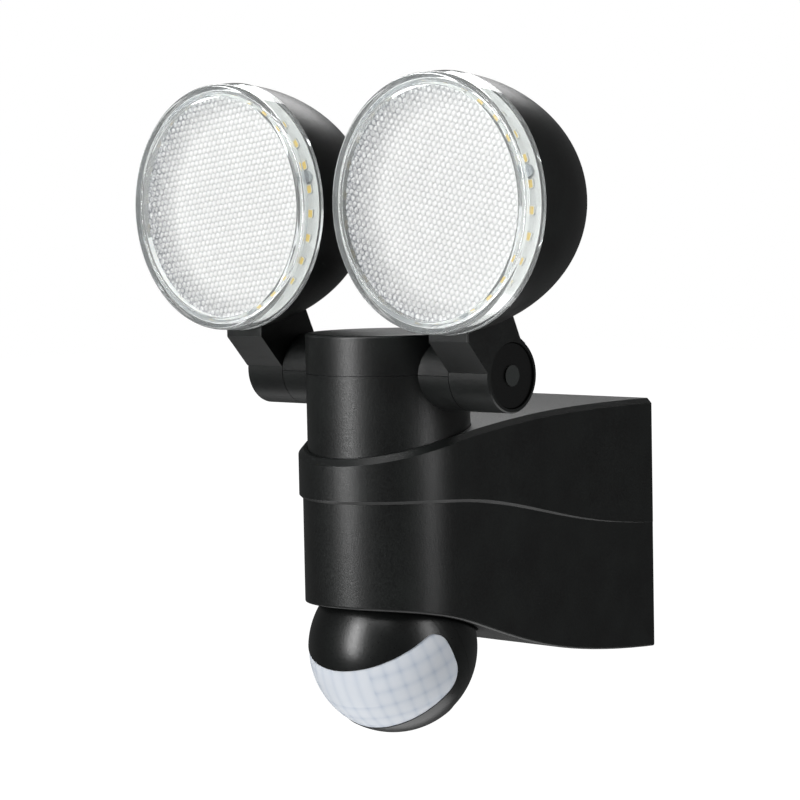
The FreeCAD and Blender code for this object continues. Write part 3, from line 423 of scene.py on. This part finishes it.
def choose(piece, test, kind="verts"):
    """In edit mode, selects the vertices, edges or faces for which test is true, and counts them."""
    bpy.ops.mesh.select_all(action="DESELECT")
    bpy.ops.mesh.select_mode(type={"verts": "VERT", "edges": "EDGE", "faces": "FACE"}[kind])
    form = bmesh.from_edit_mesh(piece.data)
    picked = [item for item in getattr(form, kind) if test(item)]
    for item in picked:
        item.select_set(True)
    form.select_flush_mode()
    bmesh.update_edit_mesh(piece.data)
    return len(picked)


print("points count as one within", SAME, "m")

# %% [markdown]
# ## A small lathe
#
# A ring-shaped wall is drawn the way a lathe hand thinks: a circle is pulled along the axis and scaled, step
# by step, until it meets its own start. Its sharp circles are then found by depth and radius and rounded.

# %% The lathe
FILLET_SEGMENTS = 6


def on_circle(edge, centre, depth, radius):
    """Whether both ends of an edge lie on the circle of this radius about the Y axis through centre."""
    return all(abs(v.co.y - depth) < SAME and abs(math.hypot(v.co.x - centre.x, v.co.z - centre.z) - radius) < SAME
               for v in edge.verts)


def lathe(centre, outline, sides):
    """A closed ring about the Y axis through centre. outline is a row of (forward, radius, fillet), all in
    mm: a circle is extruded and scaled from each point to the next, and the last is bridged to the first."""
    clear_selection()
    start, radius, _ = outline[0]
    where = centre + Vector((0, -start * MM, 0))
    bpy.ops.mesh.primitive_circle_add(vertices=sides, radius=radius * MM, location=where,
                                      rotation=(math.pi / 2, 0, 0))
    ring = bpy.context.object
    bpy.ops.object.transform_apply(location=True, rotation=True, scale=True)
    bpy.ops.object.mode_set(mode="EDIT")
    bpy.ops.mesh.select_all(action="SELECT")
    for forward, new_radius, _ in outline[1:]:
        bpy.ops.mesh.extrude_edges_move(TRANSFORM_OT_translate={"value": (0, (start - forward) * MM, 0)})
        grow = new_radius / radius
        bpy.ops.transform.resize(value=(grow, 1, grow), center_override=centre)
        start, radius = forward, new_radius
    choose(ring, lambda e: len(e.link_faces) == 1, "edges")
    bpy.ops.mesh.bridge_edge_loops()
    bpy.ops.mesh.select_all(action="SELECT")
    bpy.ops.mesh.normals_make_consistent(inside=False)
    for forward, corner, fillet in outline:
        if fillet:
            choose(ring, lambda e: on_circle(e, centre, centre.y - forward * MM, corner * MM), "edges")
            bpy.ops.mesh.bevel(offset=fillet * MM, offset_type="OFFSET", segments=FILLET_SEGMENTS, affect="EDGES")
    bpy.ops.object.mode_set(mode="OBJECT")
    return ring


print("fillets are cut in", FILLET_SEGMENTS, "steps")

# %% [markdown]
# ## The rims of the clear covers
#
# A cover is a shallow clear cup: a rim round the front, a side wall, and the disc of prisms set back inside
# the rim. The rim and side wall are one ring, so they are turned on the lathe helper, and a groove behind the
# front leaves the wall thin. The front edge has a generous fillet, which bends a bright line round it.

# %% Turn the rims
SIDE_STEPS = 192
RIM_OUTLINE = [(0.1, 48.5, 0), (8.0, 47.7, 0.7), (5.1, 46.3, 0.3), (5.1, 45.05, 0), (10.1, 45.0, 0.6),
               (10.1, 50.0, 1.5), (0.1, 50.75, 0)]
centres = {}
for side in SIDES:
    low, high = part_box("lens_cover_" + side)
    board_low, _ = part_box("led_board_" + side)
    centres[side] = Vector(((low.x + high.x) / 2, board_low.y, (low.z + high.z) / 2))
    rim = lathe(centres[side], RIM_OUTLINE, SIDE_STEPS)
    settle(rim, "cover_rim_" + side, cover_clear)
    bpy.ops.object.shade_smooth_by_angle(angle=math.radians(35))
    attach(rim, "head_" + side)
    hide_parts("lens_cover_" + side)
    print(rim.name, len(rim.data.polygons), "faces")

# %% [markdown]
# ## The discs of prisms
#
# The disc spreads the light with about a thousand small pillows, six-sided and packed like honeycomb. One
# pillow is made from a hexagon by three insets that also lift it, each less steep than the one before, so
# that it rounds off towards its top.

# %% Make one pillow
PITCH = 2.55 * MM
PILLOW_STEPS = ((0.16, 0.24), (0.3, 0.24), (0.34, 0.12))
PILLOW_HEIGHT = sum(lift for _, lift in PILLOW_STEPS)


def pillow(place):
    """One six-sided pillow, lifted along -Y."""
    clear_selection()
    bpy.ops.mesh.primitive_circle_add(vertices=6, radius=PITCH / math.sqrt(3), fill_type="NGON",
                                      location=place, rotation=(math.pi / 2, 0, 0))
    cell = bpy.context.object
    bpy.ops.object.transform_apply(location=True, rotation=True, scale=True)
    bpy.ops.object.mode_set(mode="EDIT")
    bpy.ops.mesh.select_all(action="SELECT")
    for margin, lift in PILLOW_STEPS:
        bpy.ops.mesh.inset(thickness=margin * MM, depth=lift * MM)
    bpy.ops.object.mode_set(mode="OBJECT")
    return cell


print("a pillow is", round(PITCH / MM, 2), "mm wide and", round(PILLOW_HEIGHT, 2), "mm high")

# %% [markdown]
# ## The field of pillows
#
# Array modifiers repeat the pillow, first along a row and then in pairs of rows, and neighbours are welded.
# The open edge is pulled back and filled, which makes the sheet solid, and a Boolean with a cylinder trims it
# to the round disc. The pillows face out, below the rim that guards them.

# %% Repeat the pillow and trim the field
ROW = PITCH * math.sqrt(3) / 2
DISC_RADIUS = 44.95 * MM
TURNS = {"right": 13, "left": -7}
DISC_FACE = 6.35 * MM
DISC_THICKNESS = 1.25 * MM
CUTTER_DEPTH = 20 * MM
WELD = 0.02 * MM


def repeat(piece, count, step):
    """An Array modifier, applied, that welds neighbours together."""
    array = piece.modifiers.new("repeat", "ARRAY")
    array.count = count
    array.use_relative_offset = False
    array.use_constant_offset = True
    array.constant_offset_displace = step
    array.use_merge_vertices = True
    array.merge_threshold = WELD / 2
    pick(piece)
    bpy.ops.object.modifier_apply(modifier=array.name)


def keep_shared(piece, other):
    """Cuts piece down to what it shares with other, and removes other."""
    shared = piece.modifiers.new("shared", "BOOLEAN")
    shared.operation = "INTERSECT"
    shared.object = other
    shared.solver = "EXACT"
    pick(piece)
    bpy.ops.object.modifier_apply(modifier=shared.name)
    bpy.data.objects.remove(other)


def prism_disc(side):
    """The disc of one cover: a welded field of pillows, closed at the back and trimmed round."""
    centre = centres[side]
    across_count = int(2 * DISC_RADIUS / PITCH) + 4
    row_pairs = int(DISC_RADIUS / ROW) + 2
    corner = centre + Vector((-across_count / 2 * PITCH, -DISC_FACE, -row_pairs * ROW))
    sheet = pillow(corner)
    pillow(corner + Vector((PITCH / 2, 0, ROW)))
    sheet.select_set(True)
    bpy.context.view_layer.objects.active = sheet
    bpy.ops.object.join()
    repeat(sheet, across_count, (PITCH, 0, 0))
    repeat(sheet, row_pairs, (0, 0, 2 * ROW))
    bpy.ops.object.mode_set(mode="EDIT")
    bpy.ops.mesh.select_all(action="SELECT")
    bpy.ops.mesh.remove_doubles(threshold=WELD)
    choose(sheet, lambda e: len(e.link_faces) == 1, "edges")
    bpy.ops.mesh.extrude_edges_move(TRANSFORM_OT_translate={"value": (0, DISC_THICKNESS, 0)})
    bpy.ops.mesh.edge_face_add()
    bpy.ops.mesh.select_all(action="SELECT")
    bpy.ops.mesh.normals_make_consistent(inside=False)
    bpy.ops.transform.rotate(value=math.radians(-TURNS[side]), orient_axis="Y", center_override=centre)
    bpy.ops.object.mode_set(mode="OBJECT")
    clear_selection()
    bpy.ops.mesh.primitive_cylinder_add(vertices=SIDE_STEPS, radius=DISC_RADIUS, depth=CUTTER_DEPTH,
                                        location=centre, rotation=(math.pi / 2, 0, 0))
    keep_shared(sheet, bpy.context.object)
    return sheet


print("rows are", round(ROW / MM, 2), "mm apart on a disc", round(2 * DISC_RADIUS / MM, 1), "mm wide")

# %% [markdown]
# ## Painted shade on the field
#
# Light is weakest in the valleys between the pillows, so shade is painted at their feet. A speckled crescent
# of painted shade lies along the -X side of each disc, where the prisms look past the board's edge. An
# attribute on each disc keeps how much shade is painted at every point, and the clear plastic reads it.

# %% Make the discs
# Where the crescent of painted shade lies, and how much shade is painted at the pillows' feet and in it.
CRESCENT_SHIFT = 10 * MM
CRESCENT_START = 36 * MM
CRESCENT_WIDTH = 17 * MM
FOOT_PAINTED_SHADE = 0.27
CRESCENT_PAINTED_SHADE = 0.15


def shade_in_field(point, centre, draw):
    """How much shade is painted on the disc here, from 0 to 1: painted shade at the feet of the pillows, and a
    speckled crescent of painted shade along the -X side."""
    foot = 1 - (centre.y - DISC_FACE - point.y) / (PILLOW_HEIGHT * MM)
    off_centre = math.hypot(point.x - centre.x - CRESCENT_SHIFT, point.z - centre.z)
    in_crescent = max(0.0, min(1.0, (off_centre - CRESCENT_START) / CRESCENT_WIDTH))
    speckle = CRESCENT_PAINTED_SHADE + (1 - CRESCENT_PAINTED_SHADE) * draw
    return max(0.0, min(1.0, FOOT_PAINTED_SHADE * foot + in_crescent * speckle))


dice = random.Random(5)
for side in SIDES:
    disc = settle(prism_disc(side), "prism_disc_" + side, prism_clear)
    bpy.ops.object.shade_smooth_by_angle(angle=math.radians(50))
    # Painted shade: how grey each point of the disc is drawn, kept as an attribute.
    valley = disc.data.attributes.new("valley", "FLOAT", "POINT")
    shades = [shade_in_field(v.co, centres[side], dice.random()) for v in disc.data.vertices]
    valley.data.foreach_set("value", shades)
    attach(disc, "head_" + side)
    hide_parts("lens_cover_" + side)
    print(disc.name, len(disc.data.polygons), "faces")

# %% [markdown]
# ## The LED packages
#
# Each LED is a cup of 3.5 by 2.8 mm with one corner cut off to mark its pole. It starts as a cube of that
# size; the top is inset and pushed down for the window, and the corner edge is bevelled.

# %% Make one LED
LED_SIZE = Vector((3.5, 0.8, 2.8)) * MM
LED_CORNER = 0.6 * MM
LED_BORDER = 0.22 * MM
WINDOW_SLOPE = 0.08 * MM
WINDOW_DEPTH = 0.15 * MM


def led_package():
    """One LED at the origin, facing -Y, standing on the plane y = 0."""
    clear_selection()
    bpy.ops.mesh.primitive_cube_add(size=1, location=(0, -LED_SIZE.y / 2, 0))
    cup = bpy.context.object
    cup.scale = LED_SIZE
    bpy.ops.object.transform_apply(location=True, rotation=True, scale=True)
    bpy.ops.object.mode_set(mode="EDIT")
    choose(cup, lambda e: all(v.co.x > 0 and v.co.z > 0 for v in e.verts), "edges")
    bpy.ops.mesh.bevel(offset=LED_CORNER, segments=1, affect="EDGES")
    choose(cup, lambda f: f.normal.y < -0.9, "faces")
    bpy.ops.mesh.inset(thickness=LED_BORDER)
    bpy.ops.mesh.inset(thickness=WINDOW_SLOPE, depth=-WINDOW_DEPTH)
    cup.data.materials.append(led_cup)
    cup.data.materials.append(phosphor)
    cup.active_material_index = 1
    bpy.ops.object.material_slot_assign()
    bpy.ops.object.mode_set(mode="OBJECT")
    return cup


print("an LED is", [round(v / MM, 1) for v in LED_SIZE], "mm")

# %% [markdown]
# ## Three circles of LEDs
#
# The LEDs stand in three circles on each board, with their long side along the circle. One is made for each
# board and copied, each copy with its own mesh, and the copies are joined into one piece. A circle is (radius
# in mm, how many, first angle in degrees).

# %% Set out the LEDs
LED_RINGS = ((43.0, 28, 8.6), (30.0, 16, 11.25), (17.0, 8, 22.5))
for side in SIDES:
    pattern = led_package()
    copies = []
    for radius, count, start in LED_RINGS:
        for i in range(count):
            turn = math.radians(start) + math.tau * i / count
            copy = pattern.copy()
            copy.data = pattern.data.copy()
            bpy.context.scene.collection.objects.link(copy)
            copy.matrix_world = (Matrix.Translation(centres[side]) @ Matrix.Rotation(-turn, 4, "Y")
                                 @ Matrix.Translation((radius * MM, 0, 0))
                                 @ Matrix.Rotation(math.pi / 2, 4, "Y"))
            copies.append(copy)
    bpy.data.objects.remove(pattern)
    clear_selection()
    for copy in copies:
        copy.select_set(True)
    bpy.context.view_layer.objects.active = copies[0]
    bpy.ops.object.join()
    leds = copies[0]
    bpy.ops.object.transform_apply(location=True, rotation=True, scale=True)
    leds.name = "led_packages_" + side
    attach(leds, "head_" + side)
    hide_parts("leds_" + side)
    print(leds.name, len(leds.data.polygons), "faces")

# %% [markdown]
# ## The sensor's faceted lens
#
# The lens gathers heat from many directions, so it is divided like a map: columns along its meridians and
# rows along its parallels, with longer facets in front. Two functions say where the borders run: one for the
# grooves in the mesh, and one for the soft lines of painted shade that show them.

# %% Where the facets meet
LENS_COLUMNS = 34
LENS_ROWS = 16
FINE = 8
TALL_COLUMNS = 4.8
TALL_FOOT = -0.9
TILT = math.radians(26.5)
BALL = Vector(joint_place("sensor_tilt"))
# How far the painted shade along a border reaches, how dark it is there, and how dark where two cross.
LINE_REACH = 2.4
LINE_SHADE = 0.25
CROSSING_SHADE = 0.45


def border_of(point, reach):
    """How near this point of the lens is to its facet's borders, from 0 to 1: first to the upright ones, then
    to the level ones. reach is in steps of the ball's own mesh."""
    local = Matrix.Rotation(-TILT, 3, "X") @ (point - BALL)
    column = math.atan2(local.x, -local.y) / math.tau * LENS_COLUMNS + 0.5
    row = math.asin(max(-1, min(1, local.z / local.length))) / math.pi * LENS_ROWS
    column_off = abs(column - round(column)) * FINE
    row_off = abs(row - round(row)) * FINE
    in_front = abs(column - 0.5) < TALL_COLUMNS / 2 and row > TALL_FOOT
    return max(0, 1 - column_off / reach), 0 if in_front else max(0, 1 - row_off / reach)


def shade_of(point):
    """How much shade is painted on the lens here: a soft line along each border and a darker spot where two cross.
    """
    upright_line, level_line = border_of(point, LINE_REACH)
    return min(1, LINE_SHADE * max(upright_line, level_line) + CROSSING_SHADE * upright_line * level_line)


print("the ball's centre is at", [round(v, 4) for v in BALL])

# %% [markdown]
# ## Groove a ball
#
# A UV sphere already has meridians and parallels. It is made fine enough for eight steps in each facet and
# leaned forward, since the lens looks a little down, and the points that lie on a border are pressed in.

# %% Groove a ball
LENS_RADIUS = 34.55 * MM
GROOVE = 0.05 * MM
clear_selection()
bpy.ops.mesh.primitive_uv_sphere_add(segments=LENS_COLUMNS * FINE, ring_count=LENS_ROWS * FINE,
                                     radius=LENS_RADIUS, location=BALL, rotation=(TILT, 0, 0))
ball = bpy.context.object
bpy.ops.object.transform_apply(location=True, rotation=True, scale=True)
bpy.ops.object.mode_set(mode="EDIT")
grooved = choose(ball, lambda v: max(border_of(v.co, 1)) > 0.5)
bpy.ops.transform.shrink_fatten(value=-GROOVE)
bpy.ops.object.mode_set(mode="OBJECT")
print(grooved, "points pressed into grooves")

# %% [markdown]
# ## Cut the lens from the ball
#
# The outline is already right in the CAD part, so a copy of it gives the edge and the ball gives the surface:
# what both share is the lens. A CAD mesh is loose triangles, so the copy is merged first.

# %% Cut the lens
outline = nodes["pir_lens"].copy()
outline.data = outline.data.copy()
outline.parent = None
bpy.context.scene.collection.objects.link(outline)
pick(outline)
bpy.ops.object.mode_set(mode="EDIT")
bpy.ops.mesh.select_all(action="SELECT")
bpy.ops.mesh.remove_doubles(threshold=SAME)
bpy.ops.object.mode_set(mode="OBJECT")
keep_shared(ball, outline)
settle(ball, "faceted_lens", lens_milky)
bpy.ops.object.shade_smooth_by_angle(angle=math.radians(40))
# Painted shade along the lens's grooves, kept as an attribute.
valley = ball.data.attributes.new("valley", "FLOAT", "POINT")
valley.data.foreach_set("value", [shade_of(v.co) for v in ball.data.vertices])
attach(ball, "sensor_ball")
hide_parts("pir_lens")
print("faceted_lens", len(ball.data.polygons), "faces")

# %% [markdown]
# ## Light
#
# Black satin plastic shows mostly what it reflects, so the lights are shapes to be seen in it: a tall soft
# box on each side for upright highlights, and wide ones high in front, high behind and below. All are plain
# area lights.

# %% Set the lights
def soft_box(name, round_from_view, above, distance, size, power):
    """An area light aimed at the object: degrees round from the camera's side and above the level, metres
    away, its width and height, and its power in watts."""
    data = bpy.data.lights.new(name, "AREA")
    data.shape = "RECTANGLE"
    data.size, data.size_y = size
    data.energy = power
    light = bpy.data.objects.new(name, data)
    turn = VIEW_ROUND + math.radians(round_from_view)
    rise = math.radians(above)
    toward = direction(turn, rise)
    facing = toward.to_track_quat("Z", "Y").to_matrix().to_4x4()
    light.matrix_world = Matrix.Translation(AIM + toward * distance) @ facing
    bpy.context.scene.collection.objects.link(light)
    return light


soft_box("left strip", -56, 14, 1.3, (0.28, 1.0), 14.5)
soft_box("right strip", 54, 14, 1.3, (0.24, 1.0), 6)
soft_box("high fill", -30, 55, 1.6, (0.9, 0.9), 7)
soft_box("back overhead", 180, 42, 1.4, (1.2, 0.6), 11)
soft_box("floor bounce", 0, -88, 0.75, (1.2, 1.2), 7)
print(len(bpy.data.lights), "lights")

# %% [markdown]
# ## The surroundings
#
# Seen straight on, the surroundings are white paper. In reflections they are a dim room, which keeps black
# plastic black, and through the clear covers they are something in between.

# %% Set the surroundings
world = bpy.data.worlds.new("studio")
bpy.context.scene.world = world
world.use_nodes = True
world.node_tree.nodes.clear()
sky = add(world.node_tree, "OutputWorld")
room, paper, haze = (add(world.node_tree, "Background", {"Color": colour("#FFFFFF"), "Strength": strength})
                     for strength in (0.09, 1.0, 0.3))
path = add(world.node_tree, "LightPath")
through = add(world.node_tree, "MixShader", links={"Fac": path.outputs["Is Transmission Ray"],
                                                   1: room.outputs["Background"], 2: haze.outputs["Background"]})
seen = add(world.node_tree, "MixShader", links={"Fac": path.outputs["Is Camera Ray"],
                                                1: through.outputs["Shader"], 2: paper.outputs["Background"]})
world.node_tree.links.new(seen.outputs["Shader"], sky.inputs["Surface"])
print("surroundings:", world.name)

# %% [markdown]
# ## The floor
#
# The floor is far below, since the lamp hangs on a wall. It is plain and pale, and is left out of reflections
# so that it doesn't fill the black plastic with white.

# %% Lay the floor
FLOOR_DROP = 0.9
clear_selection()
bpy.ops.mesh.primitive_plane_add(size=30, location=(0, 0, CAD_BOX[0][2] - FLOOR_DROP))
floor = bpy.context.object
floor.name = "floor"
paint, tree, output = empty_material("Studio floor, matt paint")
place = add(tree, "TexCoord").outputs["Object"]
clouds = add(tree, "TexNoise", {"Scale": 0.8, "Detail": 2.0}, {"Vector": place})
tone = add(tree, "MixRGB", {"Color1": colour("#F6F6F6"), "Color2": colour("#FAFAFA")},
           {"Fac": clouds.outputs["Fac"]})
surface = add(tree, "BsdfPrincipled", {"Roughness": 0.9, "Emission Strength": 1.05},
              {"Base Color": tone.outputs["Color"], "Emission Color": tone.outputs["Color"]})
tree.links.new(surface.outputs["BSDF"], output.inputs["Surface"])
floor.data.materials.append(paint)
floor.visible_diffuse = False
floor.visible_glossy = False
print("floor at", round(floor.location.z, 3))
